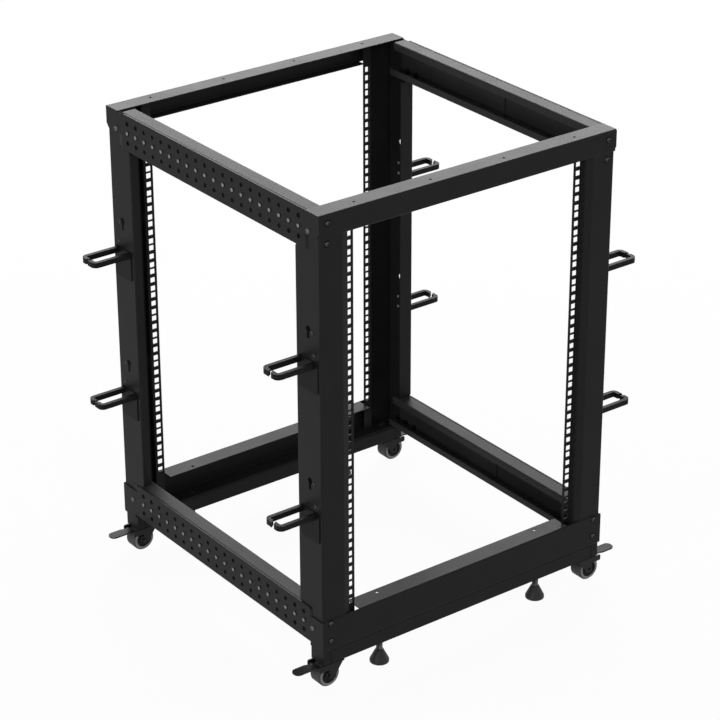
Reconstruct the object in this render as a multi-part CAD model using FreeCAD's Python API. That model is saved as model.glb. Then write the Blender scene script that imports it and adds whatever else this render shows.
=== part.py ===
import FreeCAD, Part
import math
import os
from FreeCAD import Vector

# Open frame rack with four posts, on swivel casters and levelling feet.
# Origin on the floor under the middle of the frame, X to the right, Y to the back, Z up.
# Every corner piece is drawn once in the right rear quarter and mirrored to its place.

# Equipment bay
UNITS = 15
UNIT_HEIGHT = 44.45
HOLE_STEP = 15.875            # first to second and second to third hole of a unit
HOLE_SIZE = 9.5               # square mounting holes
STACK_GAP = 4.6               # beam edge to the first and last unit

# Frame
WIDTH = 600.0                 # over the end plates
DEPTH = 600.0                 # over the cross beams
SHEET = 2.0                   # sheet steel of every folded piece
SIDE_MARGIN = 67.45           # hole column to the end plate, columns 465.1 apart
BEND = 1.0                    # inside radius of the folds
GROUND_GAP = 46.0             # floor to the lower edge of the foot channels
FOOT_CHANNEL_HEIGHT = 26.0
BOTTOM_BEAM_HEIGHT = 58.0
TOP_BEAM_HEIGHT = 38.5
BEAM_DEPTH = 35.0
TOP_BEAM_RETURN = 18.0        # lower flange of the top beams, between the posts
BEAM_HOLE_PITCH = 148.0       # four holes in the top flange
BEAM_HOLE_INSET = 15.5
BEAM_HOLE = 5.0
FOOT_HOLE_INSET = 26.0        # hole above each levelling foot
FOOT_HOLE = 6.0
END_CHAMFER = 8.0             # lower outer corner of the end plates of the top beams
FOOT_CHANNEL_END = 17.0       # end of the foot channel inside the frame's side

# Posts
POST_DEPTH = 64.5
POST_LIP = 27.0
HOLE_RECESS = 13.5            # hole flange behind the face of the post
FLANGE_MARGIN = 8.5           # hole column to the free edge of the flange
STEP_OFFSET = 8.75            # hole column to the step wall
BEVEL_WIDTH = 12.7
BEVEL_DROP = 3.5
NOTCH_CHAMFER = 6.0           # corner of the post under and over the side rails
POST_GAP = 0.5                # beam flange to the edge of the post

# Side rails
RAIL_HEIGHT = 64.0
RAIL_WIDTH = 30.0             # over flange and cover plate
RAIL_LIP = 13.0
RAIL_DROP = 13.0              # top of the bottom rails above the bottom beams
SEAM_Y = -3.5                 # end of the front half, where the rear half begins
SPLICE_LENGTH = 60.0
SPLICE_ROOT = 20.0
REAR_FLANGE_GAP = 10.5        # rear beam to the end of the rear half's top flange
PLATE_FRONT_GAP = 1.0
PLATE_REAR_GAP = 11.5
PLATE_PITCH = 25.4
PLATE_FIRST = 17.0            # first hole column behind the front end of the plate
PLATE_ROW = 17.0              # middle of the plate to each row
PLATE_HOLE = 5.5
PLATE_ROUND_HOLES = (2, 17)   # columns that take bolts; the others are alike
PLATE_HOLE_SIDES = 6
PLATE_CORNER = 10.0

# Side face of the posts
KEY_INSET = 18.0              # keyhole behind the hole flange
KEY_SLOT = 6.0
KEY_ROUND = 12.0
KEY_TAIL = 17.5               # slot below the middle of the round part
KEY_DROPS = (156.0, 423.0)    # round part of the keyholes below the top of the stack

# Cable hooks
HOOK_DROPS = (211.0, 478.0)   # arms below the top of the stack
HOOK_REACH = 72.0
HOOK_SPREAD = 36.0            # middle of one arm to middle of the other
HOOK_BAR = 7.0
HOOK_INSET = 2.0              # outer arm behind the hole flange
HOOK_CORNER = 10.0
HOOK_GAP = 9.0
HOOK_GAP_ANGLE = 35.0
HOOK_PLATE_DROP = 50.0
HOOK_PLATE_EDGE = 10.0        # plate past the middle of the outer arm

# Casters
CASTER_INSET = 36.0           # swivel axis inside the frame's side
CASTER_TRAIL = 19.0
WHEEL_RADIUS = 21.0
WHEEL_LIFT = 0.3              # wheel above the floor while the feet carry the frame
WHEEL_WIDTH = 27.0
TYRE_CHAMFER = 2.5
RIM_RADIUS = 15.0
RIM_DEPTH = 2.5
HUB_RADIUS = 6.0
AXLE_RADIUS = 3.0
PIN_RADIUS = 4.0
RUN_FIT = 0.08                # radial clearance of pins and stems
SIDE_PLAY = 1.0               # wheel to fork arm
FORK_SHEET = 2.5
CROWN_RADIUS = 10.5
ARM_HALF_WIDTH = 7.5
CROWN_GAP = 0.3
BRIDGE_GAP = 1.5              # fork bridge below the foot channel
RACE_RADIUS = 12.0
RACE_HEIGHT = 3.0
NUT_HEIGHT = 6.0
NUT_ACROSS = 13.0
HEAD_RADIUS = 5.5
HEAD_HEIGHT = 2.2
PEDAL_PIN_RADIUS = 1.8
PEDAL_PIN_OUT = 38.0          # pedal pin beyond the swivel axis
PEDAL_PIN_RISE = 18.0         # pedal pin above the axle
PEDAL_REACH = 82.0            # tip of the pedal beyond the swivel axis
PEDAL_SHOULDER = 9.0          # where the blade starts to widen, beyond the pin
PEDAL_WIDTH = 15.0
PEDAL_TIP_WIDTH = 20.0
PEDAL_SHEET = 2.5

# Levelling feet
FOOT_SPACING = 340.0
FOOT_RADIUS = 16.5
FOOT_RIM = 4.0
FOOT_HEIGHT = 23.0
FOOT_NECK = 7.0
STEM_RADIUS = 5.0
STEM_END = 3.0                # stem above the foot channel
WELD_NUT_ACROSS = 17.0
WELD_NUT_HEIGHT = 8.0

# Levels and faces that follow
WALL_TOP = GROUND_GAP + FOOT_CHANNEL_HEIGHT
BOTTOM_BEAM_TOP = WALL_TOP + BOTTOM_BEAM_HEIGHT
STACK_BOTTOM = BOTTOM_BEAM_TOP + STACK_GAP
STACK_TOP = STACK_BOTTOM + UNITS * UNIT_HEIGHT
TOP_BEAM_BOTTOM = STACK_TOP + STACK_GAP
TOP = TOP_BEAM_BOTTOM + TOP_BEAM_HEIGHT
SIDE = WIDTH / 2
FACE = DEPTH / 2
POST_SIDE = SIDE - SHEET
POST_FACE = FACE - SHEET
HOLE_PLANE = POST_FACE - HOLE_RECESS
BEAM_INNER = FACE - BEAM_DEPTH
COLUMN_X = SIDE - SIDE_MARGIN
FLANGE_EDGE = COLUMN_X - FLANGE_MARGIN
STEP_X = COLUMN_X + STEP_OFFSET
LIP_Y = POST_FACE - POST_DEPTH
BOTTOM_RAIL_TOP = BOTTOM_BEAM_TOP + RAIL_DROP
CHANNEL_X = SIDE - FOOT_CHANNEL_END
CHANNEL_MIDDLE = (BEAM_INNER + POST_FACE - SHEET) / 2
CASTER_X = SIDE - CASTER_INSET
SEAT = WALL_TOP + SHEET
STEM_TOP = WALL_TOP + STEM_END
WHEEL_Z = WHEEL_RADIUS + WHEEL_LIFT

AXIS_VECTOR = {"X": Vector(1, 0, 0), "Y": Vector(0, 1, 0), "Z": Vector(0, 0, 1)}


def point(axis, a, b, along):
    """Point of a section drawn across an axis."""
    if axis == "X":
        return Vector(along, a, b)
    if axis == "Y":
        return Vector(a, along, b)
    return Vector(a, b, along)


def outline(corners, axis, along):
    """Closed wire through (a, b, radius) corners, with an arc at each rounded one."""
    pts = [point(axis, a, b, along) for a, b, r in corners]
    radii = [r for a, b, r in corners]
    count = len(pts)
    starts, ends, arcs = [], [], []
    for i in range(count):
        here = pts[i]
        before = (pts[i - 1] - here).normalize()
        after = (pts[(i + 1) % count] - here).normalize()
        if radii[i] <= 0:
            starts.append(here)
            ends.append(here)
            arcs.append(None)
            continue
        half = before.getAngle(after) / 2
        reach = radii[i] / math.tan(half)
        middle = (before + after).normalize() * (radii[i] / math.sin(half) - radii[i])
        starts.append(here + before * reach)
        ends.append(here + after * reach)
        arcs.append(here + middle)
    edges = []
    for i in range(count):
        if arcs[i] is not None:
            edges.append(Part.Arc(starts[i], arcs[i], ends[i]).toShape())
        nxt = starts[(i + 1) % count]
        if (nxt - ends[i]).Length > 1e-6:
            edges.append(Part.makeLine(ends[i], nxt))
    return Part.Wire(edges)


def prism(corners, axis, start, end):
    """Solid between two planes across an axis, from a rounded outline."""
    face = Part.Face(outline(corners, axis, start))
    return face.extrude(AXIS_VECTOR[axis] * (end - start))


def folded(path, thickness, axis, start, end, bend=BEND):
    """Folded sheet: path is the outer face of the section, the sheet lies to its left."""
    count = len(path)
    outer, inner = [], []
    for i in range(count):
        x, y = path[i]
        dirs = []
        if i > 0:
            dirs.append(unit(path[i - 1], path[i]))
        if i < count - 1:
            dirs.append(unit(path[i], path[i + 1]))
        if len(dirs) == 1:
            nx, ny = -dirs[0][1], dirs[0][0]
            outer.append((x, y, 0))
            inner.append((x + nx * thickness, y + ny * thickness, 0))
            continue
        (ax, ay), (bx, by) = dirs
        turn = ax * by - ay * bx
        cosine = ax * bx + ay * by
        scale = thickness / (1 + cosine)
        mx, my = -(ay + by) * scale, (ax + bx) * scale
        left = turn > 0
        outer.append((x, y, bend + thickness if left else bend))
        inner.append((x + mx, y + my, bend if left else bend + thickness))
    return prism(outer + inner[::-1], axis, start, end)


def unit(p, q):
    length = math.hypot(q[0] - p[0], q[1] - p[1])
    return ((q[0] - p[0]) / length, (q[1] - p[1]) / length)


def block(x0, x1, y0, y1, z0, z1):
    return Part.makeBox(x1 - x0, y1 - y0, z1 - z0, Vector(x0, y0, z0))


def rod(radius, start, end, axis, a, b):
    """Round bar along an axis, its middle at (a, b) across it."""
    return Part.makeCylinder(radius, end - start, point(axis, a, b, start), AXIS_VECTOR[axis])


def hexagon(across, start, end, x, y):
    corner = across / math.sqrt(3)
    pts = []
    for k in range(6):
        angle = math.radians(60 * k)
        pts.append((x + corner * math.cos(angle), y + corner * math.sin(angle), 0))
    return prism(pts, "Z", start, end)


def turned(profile, axis, a, b):
    """Solid of revolution about an axis through (a, b), from (radius, along) points."""
    pts = [point(axis, a + r, b, along) for r, along in profile]
    face = Part.Face(Part.makePolygon(pts + [pts[0]]))
    return face.revolve(point(axis, a, b, 0), AXIS_VECTOR[axis], 360)


def bolt_holes(places, end_gap, low, high):
    """Vertical round cuts at (x, y, diameter) places."""
    return [rod(d / 2 + end_gap, low, high, "Z", x, y) for x, y, d in places]


def placed(shape, side, end):
    """Mirror a piece of the right rear quarter: side -1 is left, end -1 is front."""
    if side < 0:
        shape = shape.mirror(Vector(0, 0, 0), Vector(1, 0, 0))
    if end < 0:
        shape = shape.mirror(Vector(0, 0, 0), Vector(0, 1, 0))
    return shape


def make_post():
    """Upright: side web with a return lip, face, bevel, step and hole flange."""
    path = [
        (POST_SIDE - POST_LIP, LIP_Y),
        (POST_SIDE, LIP_Y),
        (POST_SIDE, POST_FACE),
        (STEP_X + BEVEL_WIDTH, POST_FACE),
        (STEP_X, POST_FACE - BEVEL_DROP),
        (STEP_X, HOLE_PLANE),
        (FLANGE_EDGE, HOLE_PLANE),
    ]
    post = folded(path, SHEET, "Z", SEAT, TOP - SHEET)
    cuts = []
    for k in range(UNITS):
        base = STACK_BOTTOM + k * UNIT_HEIGHT + (UNIT_HEIGHT - 2 * HOLE_STEP) / 2
        for j in range(3):
            z = base + j * HOLE_STEP
            half = HOLE_SIZE / 2
            cuts.append(block(COLUMN_X - half, COLUMN_X + half, HOLE_PLANE - 2 * SHEET,
                              HOLE_PLANE + SHEET, z - half, z + half))
    corner = NOTCH_CHAMFER + SHEET
    for z0, z1, level, turn in ((TOP - RAIL_HEIGHT, TOP, TOP - RAIL_HEIGHT, -1),
                                (WALL_TOP, BOTTOM_RAIL_TOP, BOTTOM_RAIL_TOP, 1)):
        cuts.append(block(SIDE - RAIL_WIDTH, SIDE, LIP_Y - SHEET, BEAM_INNER, z0, z1))
        cuts.append(prism([(LIP_Y - SHEET, level + turn * corner, 0), (LIP_Y - SHEET, level, 0),
                           (LIP_Y - SHEET + corner, level, 0)], "X", SIDE - RAIL_WIDTH, SIDE))
    key_y = HOLE_PLANE - KEY_INSET
    for drop in KEY_DROPS:
        z = STACK_TOP - drop
        cuts.append(rod(KEY_ROUND / 2, POST_SIDE - 2 * SHEET, SIDE, "X", key_y, z))
        half = KEY_SLOT / 2
        cuts.append(prism([(key_y - half, z - KEY_TAIL, half - 0.01),
                           (key_y + half, z - KEY_TAIL, half - 0.01),
                           (key_y + half, z, 0), (key_y - half, z, 0)],
                          "X", POST_SIDE - 2 * SHEET, SIDE))
    return post.cut(cuts)


def clear_posts(beam, low, high):
    """Cut a flange back to the edges of both posts, leaving the face whole."""
    relief = FLANGE_EDGE - POST_GAP
    for side in (-1, 1):
        x0, x1 = sorted((side * relief, side * (SIDE + SHEET)))
        beam = beam.cut(block(x0, x1, BEAM_INNER - SHEET, POST_FACE, low, high))
    return beam


def make_top_beam():
    """Rear top beam: face, top flange and lower return folded from one sheet, with end plates."""
    path = [(FACE - TOP_BEAM_RETURN, TOP_BEAM_BOTTOM), (FACE, TOP_BEAM_BOTTOM), (FACE, TOP),
            (BEAM_INNER, TOP)]
    beam = clear_posts(folded(path, SHEET, "X", -SIDE, SIDE), TOP_BEAM_BOTTOM - SHEET,
                       TOP - 2 * SHEET)
    edge = FACE - END_CHAMFER
    for side in (-1, 1):
        x0 = min(side * SIDE, side * POST_SIDE)
        plate = block(x0, x0 + SHEET, BEAM_INNER, POST_FACE, TOP_BEAM_BOTTOM, TOP - SHEET)
        beam = beam.fuse(plate)
        wedge = prism([(edge, TOP_BEAM_BOTTOM - SHEET, 0), (FACE + SHEET, TOP_BEAM_BOTTOM - SHEET, 0),
                       (FACE + SHEET, TOP_BEAM_BOTTOM + END_CHAMFER + SHEET, 0)], "X", x0, x0 + SHEET)
        beam = beam.cut(wedge)
    places = [((k - 1.5) * BEAM_HOLE_PITCH, FACE - BEAM_HOLE_INSET, BEAM_HOLE) for k in range(4)]
    return beam.cut(bolt_holes(places, 0, TOP - 2 * SHEET, TOP + SHEET)).removeSplitter()


def make_bottom_beam():
    """Rear bottom beam: channel with its top flange between the posts, and end plates."""
    path = [(BEAM_INNER, WALL_TOP), (FACE, WALL_TOP), (FACE, BOTTOM_BEAM_TOP),
            (BEAM_INNER, BOTTOM_BEAM_TOP)]
    beam = clear_posts(folded(path, SHEET, "X", -SIDE, SIDE), BOTTOM_BEAM_TOP - 2 * SHEET,
                       BOTTOM_BEAM_TOP + SHEET)
    top_holes, seat_holes = [], []
    for side in (-1, 1):
        x0 = min(side * SIDE, side * POST_SIDE)
        beam = beam.fuse(block(x0, x0 + SHEET, BEAM_INNER, POST_FACE, SEAT,
                               BOTTOM_BEAM_TOP - SHEET))
        top_holes.append((side * FOOT_SPACING / 2, FACE - FOOT_HOLE_INSET, FOOT_HOLE))
        seat_holes += [(side * FOOT_SPACING / 2, CHANNEL_MIDDLE, 2 * STEM_RADIUS),
                       (side * CASTER_X, CHANNEL_MIDDLE, 2 * PIN_RADIUS)]
    beam = beam.cut(bolt_holes(top_holes, 0, BOTTOM_BEAM_TOP - 2 * SHEET, BOTTOM_BEAM_TOP + SHEET))
    return beam.cut(bolt_holes(seat_holes, RUN_FIT, GROUND_GAP, SEAT + SHEET)).removeSplitter()


def make_foot_channel():
    """Rear foot channel: inverted U under the beam, with weld nuts for the feet."""
    path = [(POST_FACE, GROUND_GAP), (POST_FACE, WALL_TOP),
            (BEAM_INNER - SHEET, WALL_TOP), (BEAM_INNER - SHEET, GROUND_GAP)]
    channel = folded(path, SHEET, "X", -CHANNEL_X, CHANNEL_X)
    top = WALL_TOP - SHEET
    for side in (-1, 1):
        x = side * FOOT_SPACING / 2
        channel = channel.fuse(hexagon(WELD_NUT_ACROSS, top - WELD_NUT_HEIGHT, top, x,
                                       CHANNEL_MIDDLE))
        places = [(x, CHANNEL_MIDDLE, 2 * STEM_RADIUS),
                  (side * CASTER_X, CHANNEL_MIDDLE, 2 * PIN_RADIUS)]
        channel = channel.cut(bolt_holes(places, RUN_FIT, GROUND_GAP, TOP))
    return channel


def rail_section(top, inset):
    """Lipped channel section, moved inwards by a nested sheet."""
    web = POST_SIDE - inset
    edge = SIDE - RAIL_WIDTH + inset
    high = top - inset
    low = top - RAIL_HEIGHT + inset
    return [(edge, low + RAIL_LIP - inset), (edge, low), (web, low), (web, high), (edge, high),
            (edge, high - RAIL_LIP + inset)]


def make_front_rail(top):
    """Front half of the right rail, with a nested tongue under the rear half."""
    rail = folded(rail_section(top, 0), SHEET, "Y", -BEAM_INNER, SEAM_Y)
    tongue = folded(rail_section(top, SHEET), SHEET, "Y", SEAM_Y - SPLICE_ROOT,
                    SEAM_Y + SPLICE_LENGTH)
    return rail.fuse(tongue)


def make_rear_rail(top):
    """Rear half of the right rail; its top flange stops short of the beam."""
    rail = folded(rail_section(top, 0), SHEET, "Y", SEAM_Y, BEAM_INNER)
    relief = block(0, POST_SIDE - SHEET, BEAM_INNER - REAR_FLANGE_GAP, FACE,
                   top - RAIL_LIP - SHEET, top + SHEET)
    return rail.cut(relief)


def make_rail_plate(top):
    """Perforated cover plate of the right rail, two rows of holes in its whole length."""
    start = -BEAM_INNER + PLATE_FRONT_GAP
    end = BEAM_INNER - PLATE_REAR_GAP
    plate = prism([(start, top - RAIL_HEIGHT, 0), (end, top - RAIL_HEIGHT, 0),
                   (end, top, PLATE_CORNER), (start, top, 0)], "X", POST_SIDE, SIDE)
    columns = int((end - start - 2 * PLATE_FIRST) / PLATE_PITCH) + 1
    cuts = []
    for k in range(columns):
        y = start + PLATE_FIRST + k * PLATE_PITCH
        for row in (-1, 1):
            z = top - RAIL_HEIGHT / 2 + row * PLATE_ROW
            if k in PLATE_ROUND_HOLES:
                cuts.append(rod(PLATE_HOLE / 2, POST_SIDE - SHEET, SIDE + SHEET, "X", y, z))
                continue
            corner = PLATE_HOLE / 2 / math.cos(math.pi / PLATE_HOLE_SIDES)
            pts = []
            for j in range(PLATE_HOLE_SIDES):
                angle = (j + 0.5) * 2 * math.pi / PLATE_HOLE_SIDES
                pts.append((y + corner * math.cos(angle), z + corner * math.sin(angle), 0))
            cuts.append(prism(pts, "X", POST_SIDE - SHEET, SIDE + SHEET))
    return plate.cut(cuts)


def make_hook(level):
    """Cable hook: a plate on the post's side and two arms that nearly close."""
    outer_arm = HOLE_PLANE - HOOK_INSET
    inner_arm = outer_arm - HOOK_SPREAD
    half = HOOK_BAR / 2
    tip = SIDE + HOOK_REACH
    corner = HOOK_CORNER
    ring = prism([(POST_SIDE, inner_arm - half, 0), (tip, inner_arm - half, corner),
                  (tip, outer_arm + half, corner), (POST_SIDE, outer_arm + half, 0)],
                 "Z", level - half, level + half)
    space = prism([(SIDE - 2 * SHEET, inner_arm + half, 0),
                   (tip - HOOK_BAR, inner_arm + half, corner - HOOK_BAR),
                   (tip - HOOK_BAR, outer_arm - half, corner - HOOK_BAR),
                   (SIDE - 2 * SHEET, outer_arm - half, 0)], "Z", level - HOOK_BAR, level + HOOK_BAR)
    middle = (outer_arm + inner_arm) / 2
    gap = block(tip - 2 * HOOK_BAR, tip + HOOK_BAR, middle - HOOK_GAP / 2, middle + HOOK_GAP / 2,
                level - HOOK_BAR, level + HOOK_BAR)
    gap.rotate(Vector(tip - half, middle, level), Vector(0, 0, 1), HOOK_GAP_ANGLE)
    plate = prism([(inner_arm - half, level + half, 0),
                   (inner_arm - half, level - HOOK_PLATE_DROP, 4),
                   (outer_arm + HOOK_PLATE_EDGE, level - HOOK_PLATE_DROP, 4),
                   (outer_arm + HOOK_PLATE_EDGE, level + half, 4)], "X", POST_SIDE, SIDE)
    return ring.cut([space, gap]).fuse(plate).removeSplitter()


def make_hooks():
    return Part.makeCompound([make_hook(STACK_TOP - drop) for drop in HOOK_DROPS])


def make_caster_mount():
    """Fixed top of a caster: stud and nut, race and king pin with its head."""
    x, y = CASTER_X, CHANNEL_MIDDLE
    under = WALL_TOP - SHEET
    bridge = GROUND_GAP - BRIDGE_GAP - FORK_SHEET
    head = bridge - CROWN_GAP
    profile = [(0, SEAT + NUT_HEIGHT + SHEET), (PIN_RADIUS, SEAT + NUT_HEIGHT + SHEET),
               (PIN_RADIUS, under), (RACE_RADIUS, under), (RACE_RADIUS, under - RACE_HEIGHT),
               (PIN_RADIUS, under - RACE_HEIGHT), (PIN_RADIUS, head), (HEAD_RADIUS, head),
               (HEAD_RADIUS, head - HEAD_HEIGHT), (0, head - HEAD_HEIGHT)]
    pin = turned(profile, "Z", x, y)
    nut = hexagon(NUT_ACROSS, SEAT, SEAT + NUT_HEIGHT, x, y)
    return pin.fuse(nut).removeSplitter()


def make_caster_fork():
    """Swivelling fork: crown on the king pin, bridge, two arms and the axle."""
    x, y = CASTER_X, CHANNEL_MIDDLE
    bridge_top = GROUND_GAP - BRIDGE_GAP
    bridge_low = bridge_top - FORK_SHEET
    crown_top = WALL_TOP - SHEET - RACE_HEIGHT - CROWN_GAP
    inner = WHEEL_WIDTH / 2 + SIDE_PLAY
    outer = inner + FORK_SHEET
    crown = rod(CROWN_RADIUS, bridge_low, crown_top, "Z", x, y)
    bridge = prism([(x - CROWN_RADIUS, y - outer, 3), (x + CROWN_RADIUS, y - outer, 0),
                    (x + CROWN_RADIUS, y + outer, 0), (x - CROWN_RADIUS, y + outer, 3)],
                   "Z", bridge_low, bridge_top)
    fork = crown.fuse(bridge)
    axle_x = x + CASTER_TRAIL
    pedal_x = x + PEDAL_PIN_OUT
    pedal_z = WHEEL_Z + PEDAL_PIN_RISE
    shoulder = pedal_z - 2 * PEDAL_PIN_RADIUS - 2
    for side in (-1, 1):
        y0 = y + min(side * inner, side * outer)
        arm = prism([(x - ARM_HALF_WIDTH, bridge_top, 0),
                     (axle_x - HUB_RADIUS, WHEEL_Z - HUB_RADIUS, HUB_RADIUS - 1),
                     (axle_x + HUB_RADIUS, WHEEL_Z - HUB_RADIUS, HUB_RADIUS - 1),
                     (axle_x + 2, shoulder, 2),
                     (pedal_x + 4, shoulder, 3),
                     (pedal_x + 4, bridge_top, 3)], "Y", y0, y0 + FORK_SHEET)
        fork = fork.fuse(arm)
    fork = fork.cut(rod(PIN_RADIUS + RUN_FIT, 0, TOP, "Z", x, y))
    axle = rod(AXLE_RADIUS, y - outer - 1.5, y + outer + 1.5, "Y", axle_x, WHEEL_Z)
    pedal_pin = rod(PEDAL_PIN_RADIUS, y - outer, y + outer, "Y", pedal_x, pedal_z)
    return fork.fuse([axle, pedal_pin]).removeSplitter()


def make_caster_wheel():
    """Wheel with a chamfered tread, recessed faces and a hub, bored for the axle."""
    y = CHANNEL_MIDDLE
    bore = AXLE_RADIUS + RUN_FIT
    half = WHEEL_WIDTH / 2
    side = [(bore, half), (HUB_RADIUS, half), (HUB_RADIUS, half - RIM_DEPTH),
            (RIM_RADIUS, half - RIM_DEPTH), (RIM_RADIUS, half),
            (WHEEL_RADIUS - TYRE_CHAMFER, half), (WHEEL_RADIUS, half - TYRE_CHAMFER)]
    profile = [(r, y + t) for r, t in side] + [(r, y - t) for r, t in side[::-1]]
    return turned(profile, "Y", CASTER_X + CASTER_TRAIL, WHEEL_Z)


def make_brake_pedal():
    """Brake pedal: knuckle on the pedal pin and a flat blade with a round tip.

    The blade leaves the top of the knuckle, low enough to pass under the foot channel
    as the caster turns.
    """
    y = CHANNEL_MIDDLE
    pin_x = CASTER_X + PEDAL_PIN_OUT
    pin_z = WHEEL_Z + PEDAL_PIN_RISE
    half = PEDAL_WIDTH / 2
    wide = PEDAL_TIP_WIDTH / 2
    round_knuckle = PEDAL_PIN_RADIUS + 1.5
    knuckle = rod(round_knuckle, y - half, y + half, "Y", pin_x, pin_z)
    tip = CASTER_X + PEDAL_REACH
    neck = pin_x + PEDAL_SHOULDER
    blade_top = pin_z + round_knuckle
    blade = prism([(pin_x, y - half, 0), (neck, y - half, 3), (neck + 7, y - wide, 4),
                   (tip, y - wide, wide - 1), (tip, y + wide, wide - 1), (neck + 7, y + wide, 4),
                   (neck, y + half, 3), (pin_x, y + half, 0)],
                  "Z", blade_top - PEDAL_SHEET, blade_top)
    pedal = knuckle.fuse(blade)
    return pedal.cut(rod(PEDAL_PIN_RADIUS + RUN_FIT, y - FACE, y + FACE, "Y", pin_x, pin_z))


def make_levelling_foot():
    """Levelling foot: cone with a flat rim, neck and a long stem."""
    x, y = FOOT_SPACING / 2, CHANNEL_MIDDLE
    profile = [(0, 0), (FOOT_RADIUS, 0), (FOOT_RADIUS, FOOT_RIM), (FOOT_NECK, FOOT_HEIGHT),
               (STEM_RADIUS, FOOT_HEIGHT), (STEM_RADIUS, STEM_TOP), (0, STEM_TOP)]
    return turned(profile, "Z", x, y)


SIDES = (("left", -1), ("right", 1))
ENDS = (("front", -1), ("rear", 1))

nodes = {}
corner_pieces = {
    "post": make_post(),
    "cable_hooks": make_hooks(),
    "caster_mount": make_caster_mount(),
    "caster_fork": make_caster_fork(),
    "caster_wheel": make_caster_wheel(),
    "brake_pedal": make_brake_pedal(),
    "levelling_foot": make_levelling_foot(),
}
end_pieces = {
    "top_beam": make_top_beam(),
    "bottom_beam": make_bottom_beam(),
    "foot_channel": make_foot_channel(),
}
for end_name, end in ENDS:
    for name, shape in end_pieces.items():
        nodes[name + "_" + end_name] = placed(shape, 1, end)
    for side_name, side in SIDES:
        for name, shape in corner_pieces.items():
            nodes[name + "_" + end_name + "_" + side_name] = placed(shape, side, end)
for level_name, level in (("top", TOP), ("bottom", BOTTOM_RAIL_TOP)):
    pieces = {
        "rail_front_half": make_front_rail(level),
        "rail_rear_half": make_rear_rail(level),
        "rail_plate": make_rail_plate(level),
    }
    for side_name, side in SIDES:
        for name, shape in pieces.items():
            nodes[level_name + "_" + name + "_" + side_name] = placed(shape, side, 1)

os.makedirs("parts", exist_ok=True)
for name, shape in nodes.items():
    shape.exportStep("parts/" + name + ".step")
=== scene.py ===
import math

import bmesh
import bpy
import numpy as np
from mathutils import Matrix, Vector


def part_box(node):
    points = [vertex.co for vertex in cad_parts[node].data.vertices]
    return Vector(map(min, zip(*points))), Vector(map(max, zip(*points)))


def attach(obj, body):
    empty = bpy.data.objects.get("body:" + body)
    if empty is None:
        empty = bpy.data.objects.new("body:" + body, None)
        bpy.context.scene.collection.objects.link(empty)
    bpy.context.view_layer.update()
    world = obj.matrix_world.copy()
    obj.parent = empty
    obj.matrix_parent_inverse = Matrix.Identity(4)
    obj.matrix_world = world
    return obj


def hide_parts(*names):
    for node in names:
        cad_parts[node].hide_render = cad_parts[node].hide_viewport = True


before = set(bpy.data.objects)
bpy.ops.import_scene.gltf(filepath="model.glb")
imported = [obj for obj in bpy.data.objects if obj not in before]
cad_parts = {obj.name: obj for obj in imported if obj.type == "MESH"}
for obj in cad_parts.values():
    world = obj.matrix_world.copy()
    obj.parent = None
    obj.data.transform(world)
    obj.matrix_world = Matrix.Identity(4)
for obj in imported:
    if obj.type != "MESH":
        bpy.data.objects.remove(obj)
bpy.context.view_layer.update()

# Sizes in metres. Faces of the frame come from the solids themselves.
MM = 0.001
SHEET = 2.0 * MM
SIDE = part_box("top_beam_rear")[1].x
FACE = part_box("top_beam_rear")[1].y
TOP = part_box("top_beam_rear")[1].z
TOP_BEAM_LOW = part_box("top_beam_rear")[0].z
BEAM_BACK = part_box("top_beam_rear")[0].y
BOTTOM_BEAM_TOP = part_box("bottom_beam_rear")[1].z
BOTTOM_BEAM_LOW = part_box("bottom_beam_rear")[0].z
POST_SIDE = SIDE - SHEET
POST_FACE = FACE - SHEET
LEVELS = ("top", "bottom")
RAIL_LOW = {level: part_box(level + "_rail_plate_right")[0].z for level in LEVELS}
RAIL_TOP = {level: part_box(level + "_rail_plate_right")[1].z for level in LEVELS}
SIDES = {"left": -1.0, "right": 1.0}
ENDS = {"front": -1.0, "rear": 1.0}
CORNERS = [(end, ey, side, sx) for end, ey in ENDS.items() for side, sx in SIDES.items()]
SUNK = 0.4 * MM         # how far heads and rims reach into the face that they sit on
SHEEN = 0.065           # specular level of the powder paint on the frame and rails
STUDIO = 0.36           # strength of the surroundings' light on the object

# Profiles on a wheel's side in mm: radius, and height above the tyre's face or the hub's floor.
WHEEL_RING = ((14.6, -1.0), (18.4, -1.0), (18.6, 0.0), (17.9, 0.45), (15.3, 0.45), (14.6, 0.0))
HUB_DISC = ((6.2, -0.2), (14.5, -0.2), (14.5, 1.2), (13.3, 0.4), (7.2, 0.4), (6.2, 1.0))
HUB_FLOOR = 2.5 * MM    # depth of the hub's floor below the tyre's face


def linear(hex_code):
    """sRGB hex to the linear colour that shaders work with."""
    values = []
    for k in (0, 2, 4):
        c = int(hex_code[k:k + 2], 16) / 255
        values.append(c / 12.92 if c <= 0.04045 else ((c + 0.055) / 1.055) ** 2.4)
    return (*values, 1.0)


def add(tree, kind, inputs=None, **settings):
    """A node with its settings; inputs name a value or another node's output."""
    node = tree.nodes.new(kind)
    for name, value in settings.items():
        setattr(node, name, value)
    for name, value in (inputs or {}).items():
        if isinstance(value, bpy.types.NodeSocket):
            tree.links.new(value, node.inputs[name])
        else:
            node.inputs[name].default_value = value
    return node


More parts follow.
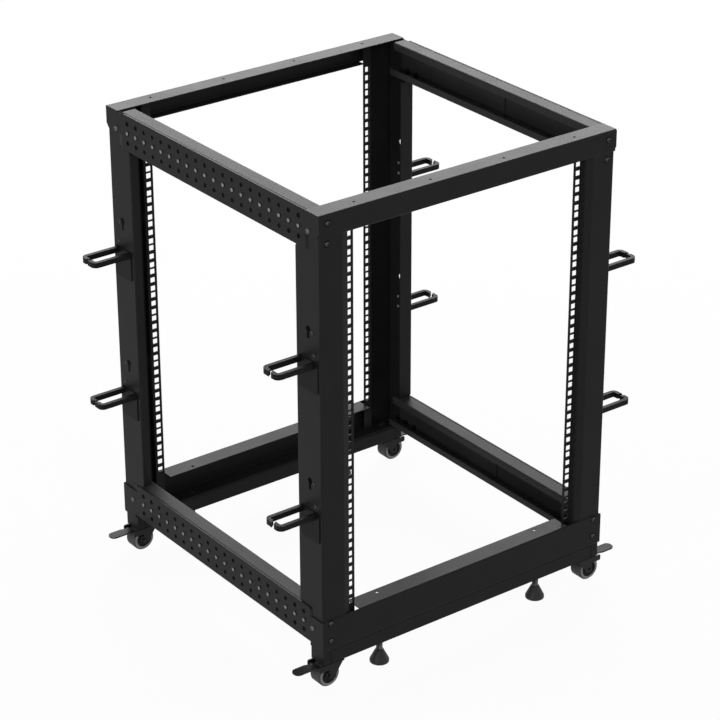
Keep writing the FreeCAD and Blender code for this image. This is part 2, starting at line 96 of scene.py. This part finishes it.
def coating(name, tone, pale, roughness, grain_mm, bump_mm, specular):
    """A painted, plated or moulded skin: fine grain in the surface, and clouds from tone to pale.

    The clouds are 60 mm wide, and move the roughness by 0.05 either way as well. Powder paint
    has a grain of 1 to 2 mm. Finer grain, as of nylon, rubber and plated steel, is drawn as
    coarse as that, so that it shows at the camera's distance.
    """
    cloud_mm, spread = 60.0, 0.05
    mat = bpy.data.materials.new(name)
    mat.use_nodes = True
    tree = mat.node_tree
    tree.nodes.clear()
    place = add(tree, "ShaderNodeTexCoord").outputs["Object"]
    grain = add(tree, "ShaderNodeTexNoise", {"Vector": place, "Scale": 1000 / grain_mm,
                                             "Detail": 2.0, "Roughness": 0.6})
    cloud = add(tree, "ShaderNodeTexNoise", {"Vector": place, "Scale": 1000 / cloud_mm,
                                             "Detail": 3.0, "Roughness": 0.5})
    colour = add(tree, "ShaderNodeMix", {"Factor": cloud.outputs["Fac"], "A": linear(tone),
                                         "B": linear(pale)}, data_type="RGBA")
    gloss = add(tree, "ShaderNodeMapRange", {"Value": cloud.outputs["Fac"],
                                             "To Min": roughness - spread,
                                             "To Max": roughness + spread})
    bump = add(tree, "ShaderNodeBump", {"Height": grain.outputs["Fac"], "Strength": 0.5,
                                        "Distance": bump_mm * MM})
    surface = add(tree, "ShaderNodeBsdfPrincipled", {
        "Base Color": colour.outputs["Result"], "Roughness": gloss.outputs["Result"],
        "Normal": bump.outputs["Normal"], "IOR": 1.5, "Specular IOR Level": specular})
    add(tree, "ShaderNodeOutputMaterial", {"Surface": surface.outputs["BSDF"]})
    return mat


# Values of a coating: tone, paler tone, roughness, grain and bump in mm, specular level.
# Baked powder paint on sheet steel: near black and satin, its orange peel spreads reflections.
frame_coat = coating("black_powder_coat", "181818", "202021", 0.42, 1.6, 0.05, SHEEN)
# The same paint on the rails, painted a shade paler as light on their shaded inner webs, and
# duller than the frame.
lit_rail_coat = coating("satin_black_rail_paint_lit", "232323", "2d2d2d", 0.46, 1.6, 0.05, SHEEN)
# Powder paint on bent square bar: a deep black that keeps only a faint shine.
hook_coat = coating("black_hook_coat", "0e0e0e", "151515", 0.5, 1.4, 0.04, 0.07)
# Pressed steel with a dipped black coat: dark, with a soft highlight on its bends.
caster_coat = coating("black_fork_steel", "0d0d0d", "161616", 0.42, 2.4, 0.03, 0.15)
# Pressed steel with a worn black coat: dark grey, so that the pedal parts from its fork.
pedal_coat = coating("dark_pedal_steel", "181818", "202020", 0.48, 2.4, 0.04, 0.1)
# Moulded rubber: matt and grey-black, paler than the painted steel beside it.
tyre_rubber = coating("grey_black_rubber", "303030", "3c3c3c", 0.6, 1.0, 0.03, 0.25)
# Moulded black nylon: a broad, weak shine on the foot's cone.
foot_coat = coating("black_foot_nylon", "161616", "202020", 0.5, 1.2, 0.03, 0.25)
# Moulded light nylon: a clean grey ring around the wheel's hub, the palest piece of all.
ring_nylon = coating("light_grey_nylon", "666666", "747474", 0.45, 1.2, 0.02, 0.5)
# Black nylon deep in the hub, near black as painted shade inside the ring.
hub_nylon_and_shade = coating("black_hub_nylon_and_shade", "070707", "0d0d0d", 0.5, 1.2, 0.02, 0.1)
# Headed bolt with a thin black coat: smooth, with a small clear highlight.
rivet_steel = coating("black_coated_bolt", "141414", "1c1c1c", 0.3, 2.4, 0.01, 0.4)
# Black oxide on the screws and nuts, and painted shade on the rings under the face bolts, the
# hole rims and the rivet heads: the darkest and dullest skin, so that they look like dots.
screw_and_shade_steel = coating("black_oxide_and_painted_shade", "030303", "060606", 0.6, 1.5, 0.03, 0.05)
# Pale grey pins and nuts: painted highlights, small grey dots in place of the glints on rivets
# and nuts.
pin_highlight_steel = coating("painted_highlight_pin", "606060", "787878", 0.4, 1.5, 0.02, 0.5)
# Dark zinc plate on the feet's stems, and a painted highlight on the end bolts: a dull dark grey,
# paler than the paint around it.
stem_and_highlight_steel = coating("dark_zinc_and_painted_highlight", "3a3a3a", "4c4c4c", 0.35, 1.5, 0.02, 0.5)

# Coats of the nodes by the start of their names; every other node has the frame's.
NODE_COATS = (
    ("top_rail_front_half", lit_rail_coat), ("top_rail_rear_half", lit_rail_coat),
    ("bottom_rail_front_half", lit_rail_coat), ("bottom_rail_rear_half", lit_rail_coat),
    ("cable_hooks", hook_coat), ("caster_mount", caster_coat), ("caster_fork", caster_coat),
    ("caster_wheel", tyre_rubber), ("brake_pedal", pedal_coat), ("levelling_foot", foot_coat),
)
for name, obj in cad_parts.items():
    coat = next((c for start, c in NODE_COATS if name.startswith(start)), frame_coat)
    obj.data.materials.clear()
    obj.data.materials.append(coat)


def piece(name, verts, faces, coat, body="frame", sharp=35.0):
    """A mesh of its own on one body, shaded smooth except over edges above sharp degrees."""
    mesh = bpy.data.meshes.new(name)
    mesh.from_pydata(verts.tolist(), [], faces)
    mesh.polygons.foreach_set("use_smooth", np.ones(len(mesh.polygons), dtype=bool))
    mesh.set_sharp_from_angle(angle=math.radians(sharp))
    mesh.materials.append(coat)
    obj = bpy.data.objects.new(name, mesh)
    bpy.context.scene.collection.objects.link(obj)
    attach(obj, body)


def shell(node, name, change):
    """A merged copy of a node's mesh that replaces it; change moves its vertices.

    Faces square to an axis stay flat, and the others, which are bends, are shaded smooth.
    """
    weld, square = 0.001 * MM, 0.999
    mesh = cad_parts[node].data.copy()
    bm = bmesh.new()
    bm.from_mesh(mesh)
    bmesh.ops.remove_doubles(bm, verts=bm.verts, dist=weld)
    bm.to_mesh(mesh)
    bm.free()
    spots = np.empty(len(mesh.vertices) * 3)
    mesh.vertices.foreach_get("co", spots)
    spots = spots.reshape(-1, 3)
    change(spots)
    mesh.vertices.foreach_set("co", spots.ravel())
    mesh.update()
    normals = np.empty(len(mesh.polygons) * 3)
    mesh.polygons.foreach_get("normal", normals)
    bent = np.abs(normals.reshape(-1, 3)).max(axis=1) < square
    mesh.polygons.foreach_set("use_smooth", bent)
    obj = bpy.data.objects.new(name, mesh)
    bpy.context.scene.collection.objects.link(obj)
    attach(obj, "frame")
    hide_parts(node)


def narrow_lip(spots):
    """Lip of 15 mm: the points of its free edge move out to the post's side less the lip."""
    lip, edge_depth = 15 * MM, 2.6 * MM
    across, along = np.abs(spots[:, 0]), np.abs(spots[:, 1])
    edge = (along < along.min() + edge_depth) & (across < POST_SIDE - lip)
    spots[edge, 0] = np.sign(spots[edge, 0]) * (POST_SIDE - lip)


def fuller_hook(spots):
    """Deeper bars: points below a bar's middle move down, and both tips move together along y.

    The upper bar's middle is half a bar below the highest point, and the lower bar's middle is
    below that by the drop between the two hooks.
    """
    depth, nearer = 2.6 * MM, 2.4 * MM
    half, drop, slack = 3.5 * MM, 267 * MM, 0.5 * MM
    middle, tip_half, tip_start = 264.5 * MM, 9 * MM, 364 * MM
    upper = spots[:, 2].max() - half
    for level in (upper, upper - drop):
        low = (spots[:, 2] < level) & (spots[:, 2] > level - half - slack)
        spots[low, 2] -= depth
    aside = np.abs(spots[:, 1]) - middle
    tip = (np.abs(spots[:, 0]) > tip_start) & (np.abs(aside) < tip_half)
    spots[tip, 1] -= np.sign(spots[tip, 1]) * np.sign(aside[tip]) * nearer


def shells():
    """Two of the posts, which stand at opposite corners, and the cable hooks."""
    for corner in ("front_right", "rear_left"):
        shell("post_" + corner, "post_shell_" + corner, narrow_lip)
    for end, _, side, _ in CORNERS:
        corner = end + "_" + side
        shell("cable_hooks_" + corner, "hook_shell_" + corner, fuller_hook)


def turns(around):
    """Angles of equal steps around a full circle, without its end."""
    return np.arange(around) * 2 * np.pi / around


def tube_faces(loops, around, closed):
    """Quads between neighbouring loops of a grid whose rows run around an axis."""
    i = np.arange(loops if closed else loops - 1)[:, None]
    j = np.arange(around)[None, :]
    k = (i + 1) % loops
    quads = np.stack([i * around + j, i * around + (j + 1) % around,
                      k * around + (j + 1) % around, k * around + j], axis=-1)
    return quads.reshape(-1, 4)


def heads(name, centres, normal, radius, height, coat, socket=0.0, depth=0.0):
    """Button heads on a face: rings on a ball's cap, with a hexagon socket where one is asked.

    The ball's radius is the sum of the squares of radius and height over twice the height. A
    ring stands as high as the root of the ball's radius squared less its own squared, less
    the ball's radius, plus height. The socket's radius is half its width over the cosine of
    the angle to the middle of its nearest side, and it is sunk by depth.
    """
    around, cap_rings = 24, 5
    mouth, crown = 0.66, 0.12       # innermost ring, by the socket's width or by the radius
    n = np.array(normal, float)
    u = np.array([-n[1], n[0], 0.0]) if abs(n[2]) < 0.5 else np.array([1.0, 0.0, 0.0])
    v = np.cross(n, u)
    t = turns(around)
    ball = (radius ** 2 + height ** 2) / (2 * height)
    hexagon = (socket / 2) / np.cos((t + np.pi / 6) % (np.pi / 3) - np.pi / 6)
    inner = socket * mouth if socket else radius * crown
    r = np.linspace(radius, inner, cap_rings)[:, None] * np.ones(around)
    h = np.sqrt(ball ** 2 - r ** 2) - ball + height
    r = np.vstack([r[:1], r])
    h = np.vstack([h[:1] - SUNK, h])
    if socket:
        r = np.vstack([r, hexagon, hexagon])
        h = np.vstack([h, h[-1], h[-1] - depth])
    ring = (r[..., None] * (np.cos(t)[:, None] * u + np.sin(t)[:, None] * v)
            + h[..., None] * n).reshape(-1, 3)
    one = np.vstack([ring, n * h[-1, 0], n * h[0, 0]])
    loops, last = len(r), len(ring)
    j = np.arange(around)
    rim = (loops - 1) * around
    quads = tube_faces(loops, around, False)
    caps = np.vstack([np.stack([rim + j, rim + (j + 1) % around, np.full(around, last)], axis=-1),
                      np.stack([(j + 1) % around, j, np.full(around, last + 1)], axis=-1)])
    centres = np.array(centres, float)
    shift = (np.arange(len(centres)) * len(one))[:, None, None]
    verts = (centres[:, None, :] + one).reshape(-1, 3)
    faces = (quads + shift).reshape(-1, 4).tolist() + (caps + shift).reshape(-1, 3).tolist()
    piece(name, verts, faces, coat)


def rims(name, centres, sx, inner, outer, height, coat):
    """Flat rings on a side face: circles of the inner and outer radius, sunk and at height."""
    around = 16
    t = turns(around)
    r = np.array([inner, outer, outer, inner])[:, None]
    x = sx * np.array([-SUNK, -SUNK, height, height])[:, None]
    one = np.stack([x + 0 * t, r * np.cos(t), r * np.sin(t)], axis=-1).reshape(-1, 3)
    quads = tube_faces(4, around, True)[:, ::int(sx)]
    centres = np.array(centres, float)
    shift = (np.arange(len(centres)) * len(one))[:, None, None]
    piece(name, (centres[:, None, :] + one).reshape(-1, 3),
          (quads + shift).reshape(-1, 4).tolist(), coat)


def revolved(name, profile, centre, coat, body):
    """Ring from a closed profile of (radius, place along the axle), turned about the Y axis."""
    around = 48
    p = np.array(profile, float)
    t = turns(around)
    along = np.repeat(p[:, 1:], around, axis=1)
    grid = np.stack([p[:, :1] * np.sin(t), along, p[:, :1] * np.cos(t)], axis=-1)
    verts = grid.reshape(-1, 3) + np.array(centre)
    piece(name, verts, tube_faces(len(p), around, True).tolist(), coat, body)


def bar(name, outline, start, end, sharp=35.0):
    """Painted bar: a closed outline carried straight from start to end, with both ends closed."""
    ring = np.array(outline, float)
    verts = np.vstack([ring + np.array(start), ring + np.array(end)])
    n = len(ring)
    faces = tube_faces(2, n, False).tolist() + [list(range(n))[::-1], list(range(n, 2 * n))]
    piece(name, verts, faces, frame_coat, sharp=sharp)


def paint_seams():
    """Powder paint that rounds the edge over each cover plate and bridges the joints at its ends.

    The edge is a quarter circle of 3 mm from the plate's face to the rail's lip. The joint is
    a flat strip as high as the end plate, and over the rest a ramp of 2 in 6 down to the
    post's side.
    """
    quarter = np.linspace(0, np.pi / 2, 9)
    # Edge: its centre inside the corner, its radius, and how far it ends before the plate does.
    inset, over, short = 2.9 * MM, 2.96 * MM, 10 * MM
    # Joint: its face below the side, its back in the post, and its start under the plate.
    skin, root, lap = 0.05 * MM, 0.2 * MM, 0.2 * MM
    # Joint: the strip's end in the end plate, and the ramp's level part and its run.
    reach, crest, slope = 0.1 * MM, 1.1 * MM, 6 * MM
    # Joint: its ends above the plate's lower edge and below its upper one.
    foot, lip = 0.3 * MM, 2.5 * MM
    for side, sx in SIDES.items():
        for level in LEVELS:
            low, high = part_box(level + "_rail_plate_" + side)
            arc = np.stack([sx * over * np.cos(quarter), 0 * quarter, over * np.sin(quarter)], 1)
            outline = np.vstack([arc, [[0, 0, 0]]])[::-int(sx)]
            x, z = sx * (SIDE - inset), high.z - inset
            bar("rail_edge_%s_%s" % (level, side), outline, (x, low.y, z),
                (x, high.y - short, z), sharp=5.0)
            out, deep = sx * (SIDE - skin), sx * (POST_SIDE - root)
            if level == "top":
                flat_span = (TOP_BEAM_LOW, high.z - lip)
                ramp_span = (low.z + foot, TOP_BEAM_LOW)
            else:
                flat_span = (low.z + foot, BOTTOM_BEAM_TOP - SHEET)
                ramp_span = (BOTTOM_BEAM_TOP - SHEET, high.z - lip)
            for end, ey in ENDS.items():
                rim = low.y if end == "front" else high.y
                near, far = rim - ey * lap, ey * (BEAM_BACK + reach)
                flat = [(out, near), (out, far), (deep, far), (deep, near)]
                far = rim + ey * crest
                ramp = [(out, near), (out, far), (deep, far + ey * slope), (deep, near)]
                for kind, outline, span in (("flat", flat, flat_span), ("ramp", ramp, ramp_span)):
                    ring = np.column_stack([outline, np.zeros(4)])[::int(sx * ey)]
                    bar("rail_%s_%s_%s_%s" % (kind, level, end, side), ring, (0, 0, span[0]),
                        (0, 0, span[1]))


def face_bolts():
    """Near-black rings of painted shade, and socket bolts, in the corners of the front and the
    rear.
    """
    face_x = SIDE - 17 * MM
    rows = [((TOP + TOP_BEAM_LOW) / 2 + 4.3 * MM, FACE), (TOP_BEAM_LOW - 11 * MM, POST_FACE),
            (BOTTOM_BEAM_TOP - 6.5 * MM, FACE), (BOTTOM_BEAM_LOW + 18.5 * MM, FACE)]
    for end, ey in ENDS.items():
        centres = [(sx * face_x, ey * y, z) for sx in SIDES.values() for z, y in rows]
        # Near-black rings around each bolt's head: painted shade where the head meets the face.
        heads("face_bolt_shade_rings_" + end, centres, (0, ey, 0), radius=6.2 * MM, height=0.5 * MM,
              coat=screw_and_shade_steel)
        heads("face_bolts_" + end, centres, (0, ey, 0), radius=4.6 * MM, height=3.2 * MM,
              coat=rivet_steel, socket=4 * MM, depth=1.2 * MM)


def cover_plate_fasteners(side, sx):
    """Rivets in the middle row of each cover plate, screws at its ends and near-black rims of
    painted shade in between.
    """
    pitch, row_step, columns, screwed = 25.4 * MM, 17 * MM, 20, 2
    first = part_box("top_rail_plate_" + side)[0].y + 17 * MM
    ends = [k for k in range(columns) if k < screwed or k >= columns - screwed]
    between = range(screwed, columns - screwed)
    rivets, screws, holes = [], [], []
    for level in LEVELS:
        middle = (RAIL_TOP[level] + RAIL_LOW[level]) / 2
        rivets += [(sx * SIDE, first + k * pitch, middle) for k in range(columns)]
        for spots, chosen in ((screws, ends), (holes, between)):
            spots += [(sx * SIDE, first + k * pitch, middle + row * row_step)
                      for k in chosen for row in (-1, 1)]
    # Near-black rings around the holes between the ends: painted shade that makes each hole a
    # larger dark dot.
    rims("rail_hole_shade_rims_" + side, holes, sx, inner=2.7 * MM, outer=3.9 * MM, height=0.15 * MM,
         coat=screw_and_shade_steel)
    # The rivets' near-black heads are partly painted shade: the dark side around each pin.
    heads("rail_rivets_" + side, rivets, (sx, 0, 0), radius=4.5 * MM, height=1.7 * MM,
          coat=screw_and_shade_steel)
    # The pins' pale grey is a painted highlight, set off each rivet's middle towards where the
    # light falls.
    pin_shift = np.array([sx * 1.3, -0.6, 0.6]) * MM      # out of its rivet, and off its middle
    heads("rail_rivet_highlight_pins_" + side, np.array(rivets) + pin_shift, (sx, 0, 0),
          radius=3.2 * MM, height=1.0 * MM, coat=pin_highlight_steel)
    heads("rail_screws_" + side, screws, (sx, 0, 0), radius=4.5 * MM, height=1.4 * MM,
          coat=screw_and_shade_steel, socket=5 * MM, depth=1.2 * MM)


def side_bolts_and_nuts(side, sx):
    """Bolts in the end plates and the hooks' tabs, and the nuts inside the posts' webs."""
    spots = [(sx * SIDE, ey * (FACE - 29 * MM), z) for ey in ENDS.values()
             for z in (TOP_BEAM_LOW + 5.5 * MM, BOTTOM_BEAM_LOW + 35 * MM)]
    # The end bolts' pale grey is a painted highlight on their heads.
    heads("end_plate_bolts_" + side, spots, (sx, 0, 0), radius=4.8 * MM, height=3.2 * MM,
          coat=stem_and_highlight_steel, socket=3 * MM, depth=1.2 * MM)
    # Two bolts in the tab of each hook, as y and z in mm
    tab_bolts = ((280.5, 603.5), (276, 641.5), (280.5, 336.5), (276, 374.5))
    spots = [(sx * POST_SIDE, ey * y * MM, z * MM) for ey in ENDS.values() for y, z in tab_bolts]
    heads("hook_bolts_" + side, spots, (sx, 0, 0), radius=3.8 * MM, height=2.6 * MM,
          coat=rivet_steel, socket=3 * MM, depth=1.2 * MM)
    inner = sx * (POST_SIDE - SHEET)
    tab_nut_y, tab_nut_heights = 272, (604.8, 584.7, 337.8, 317.7)
    spots = [(inner, ey * tab_nut_y * MM, z * MM) for ey in ENDS.values()
             for z in tab_nut_heights]
    # The nuts' pale grey is a painted highlight.
    heads("hook_nuts_" + side, spots, (-sx, 0, 0), radius=2.8 * MM, height=2.5 * MM,
          coat=pin_highlight_steel)
    # Nuts of the rails, as y in mm and z in metres
    top_row, bottom_row = RAIL_LOW["top"] + 7 * MM, RAIL_LOW["bottom"] + 5.5 * MM
    rail_nuts = ((246.5, top_row), (221.0, top_row),
                 (272.0, bottom_row), (246.5, bottom_row), (221.0, bottom_row))
    spots = [(inner, ey * y * MM, z) for ey in ENDS.values() for y, z in rail_nuts]
    heads("rail_nuts_" + side, spots, (-sx, 0, 0), radius=4.9 * MM, height=4.5 * MM,
          coat=screw_and_shade_steel)


def channel_caps():
    """Caps that close the ends of the foot channels.

    A box section with two rounded upper corners, each a quarter circle, carried along x.
    """
    corner = np.linspace(0, np.pi / 2, 5)
    low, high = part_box("foot_channel_front")
    width, height = high.y - low.y, high.z - low.z + 1.5 * MM
    r = 2.5 * MM
    inside, short = 1 * MM, 3 * MM      # into the channel, and short of the frame's side
    y = np.concatenate([(width / 2 - r) + r * np.cos(corner),
                        -(width / 2 - r) - r * np.sin(corner)])
    z = np.concatenate([(height - r) + r * np.sin(corner), (height - r) + r * np.cos(corner)])
    y, z = np.append(y, [-width / 2, width / 2]), np.append(z, [0, 0])
    for end, ey, side, sx in CORNERS:
        ring = np.stack([0 * y, y, z], 1)[::int(sx)]
        middle = ey * abs(low.y + high.y) / 2
        bar("channel_cap_%s_%s" % (end, side), ring, (sx * (high.x - inside), middle, low.z),
            (sx * (SIDE - short), middle, low.z))


def thread(corner, x, y):
    """Thread on a foot's stem, with one start.

    Its radius is the root plus depth times how far the phase is from the middle of a turn,
    doubled, where the phase is the height in pitches less the share of a turn, without its
    whole turns.
    """
    around, pitch, root, depth = 24, 1.5 * MM, 4.9 * MM, 0.7 * MM
    bottom, top, rows_per_pitch = 23.2 * MM, 45.6 * MM, 6
    z = np.arange(bottom, top, pitch / rows_per_pitch)[:, None]
    t = turns(around)
    phase = (z / pitch - t / (2 * np.pi)) % 1.0
    r = root + depth * np.abs(1 - 2 * phase)
    verts = np.stack([x + r * np.cos(t), y + r * np.sin(t), z + 0 * r], axis=-1)
    total = len(z) * around
    ends = [list(range(around))[::-1], list(range(total - around, total))]
    piece("foot_thread_" + corner, verts.reshape(-1, 3),
          tube_faces(len(z), around, False).tolist() + ends, stem_and_highlight_steel,
          "foot_" + corner)


def casters_and_feet():
    """Light rings, and hub discs darkened as painted shade, on both sides of the wheels, and
    threads on the feet.
    """
    foot_x, foot_y = 170 * MM, FACE - 19.5 * MM
    for end, ey, side, sx in CORNERS:
        corner = end + "_" + side
        low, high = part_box("caster_wheel_" + corner)
        middle = (low + high) / 2
        half = (high.y - low.y) / 2
        for face in (-1, 1):
            where = corner + ("_inner" if face * ey < 0 else "_outer")
            for kind, profile, base, coat in (
                    ("ring", WHEEL_RING, half, ring_nylon),
                    ("disc", HUB_DISC, half - HUB_FLOOR, hub_nylon_and_shade)):
                outline = [(r * MM, face * (base + h * MM)) for r, h in profile][::face]
                revolved("wheel_%s_%s" % (kind, where), outline, middle, coat,
                         "wheel_" + corner)
        thread(corner, sx * foot_x, ey * foot_y)


shells()
paint_seams()
face_bolts()
for side, sx in SIDES.items():
    cover_plate_fasteners(side, sx)
    side_bolts_and_nuts(side, sx)
channel_caps()
casters_and_feet()


def background_rays(tree):
    """1 for the rays that show the backdrop: the camera's, glossy and transmitted ones."""
    ray = add(tree, "ShaderNodeLightPath")
    sharp = add(tree, "ShaderNodeMath", {0: ray.outputs["Is Glossy Ray"],
                                         1: ray.outputs["Is Transmission Ray"]},
                operation="MAXIMUM")
    return add(tree, "ShaderNodeMath", {0: ray.outputs["Is Camera Ray"], 1: sharp.outputs[0]},
               operation="MAXIMUM").outputs[0]


def stage():
    """Pale floor and backdrop: white to the camera, with the frame's soft shadow kept."""
    size = 12.0
    white_share = 0.95      # of the floor as the camera sees it; the rest takes the shadow
    mesh = bpy.data.meshes.new("floor")
    mesh.from_pydata([(-size, -size, 0), (size, -size, 0), (size, size, 0), (-size, size, 0)],
                     [], [(0, 1, 2, 3)])
    floor = bpy.data.objects.new("floor", mesh)
    bpy.context.scene.collection.objects.link(floor)
    mat = bpy.data.materials.new("pale_floor")
    mat.use_nodes = True
    tree = mat.node_tree
    tree.nodes.clear()
    share = add(tree, "ShaderNodeMath", {0: background_rays(tree), 1: white_share},
                operation="MULTIPLY")
    paint = add(tree, "ShaderNodeBsdfDiffuse", {"Color": linear("d8d8d8")})
    glow = add(tree, "ShaderNodeEmission", {"Color": (1, 1, 1, 1), "Strength": 1.0})
    both = add(tree, "ShaderNodeMixShader", {0: share.outputs[0], 1: paint.outputs[0],
                                             2: glow.outputs[0]})
    add(tree, "ShaderNodeOutputMaterial", {"Surface": both.outputs[0]})
    mesh.materials.append(mat)

    world = bpy.data.worlds.new("studio")
    bpy.context.scene.world = world
    world.use_nodes = True
    tree = world.node_tree
    tree.nodes.clear()
    dim = add(tree, "ShaderNodeBackground", {"Color": (1, 1, 1, 1), "Strength": STUDIO})
    white = add(tree, "ShaderNodeBackground", {"Color": (1, 1, 1, 1), "Strength": 1.0})
    both = add(tree, "ShaderNodeMixShader", {0: background_rays(tree), 1: dim.outputs[0],
                                             2: white.outputs[0]})
    add(tree, "ShaderNodeOutputWorld", {"Surface": both.outputs[0]})


def softbox(name, place, aim, size, power):
    """Area light at place that looks at aim: size is its width and height, power in watts."""
    lamp = bpy.data.lights.new(name, "AREA")
    lamp.shape = "RECTANGLE"
    lamp.size, lamp.size_y = size
    lamp.energy = power
    obj = bpy.data.objects.new(name, lamp)
    bpy.context.scene.collection.objects.link(obj)
    obj.location = place
    obj.rotation_euler = (Vector(aim) - Vector(place)).to_track_quat("-Z", "Y").to_euler()


stage()
softbox("softbox_left", (-3.5, -0.8, 1.3), (0, 0, 0.5), (1.2, 1.2), 50)
softbox("softbox_right", (3.3, -2.0, 1.5), (0, 0, 0.5), (1.0, 1.0), 20)
softbox("softbox_fill", (-0.8, -2.3, 2.5), (0, 0, 0.5), (1.2, 1.2), 22)
softbox("softbox_back", (2.3, 3.0, 2.6), (0, 0, 0.6), (3.8, 2.5), 205)

# Camera of the photograph
camera_data = bpy.data.cameras.new("camera")
camera_data.sensor_width = 36.0
camera_data.lens = 132.60
camera_data.clip_start, camera_data.clip_end = 0.1, 60.0
camera = bpy.data.objects.new("camera", camera_data)
bpy.context.scene.collection.objects.link(camera)
AZIMUTH, ELEVATION, ROLL = math.radians(-36.900), math.radians(26.115), math.radians(-0.176)
turn = (Matrix.Rotation(AZIMUTH, 3, "Z") @ Matrix.Rotation(math.pi / 2 - ELEVATION, 3, "X")
        @ Matrix.Rotation(ROLL, 3, "Z"))
camera.rotation_euler = turn.to_euler()
camera.location = (-2.45338, -3.27040, 2.40359)
bpy.context.scene.camera = camera
bpy.context.scene.view_settings.view_transform = "Standard"
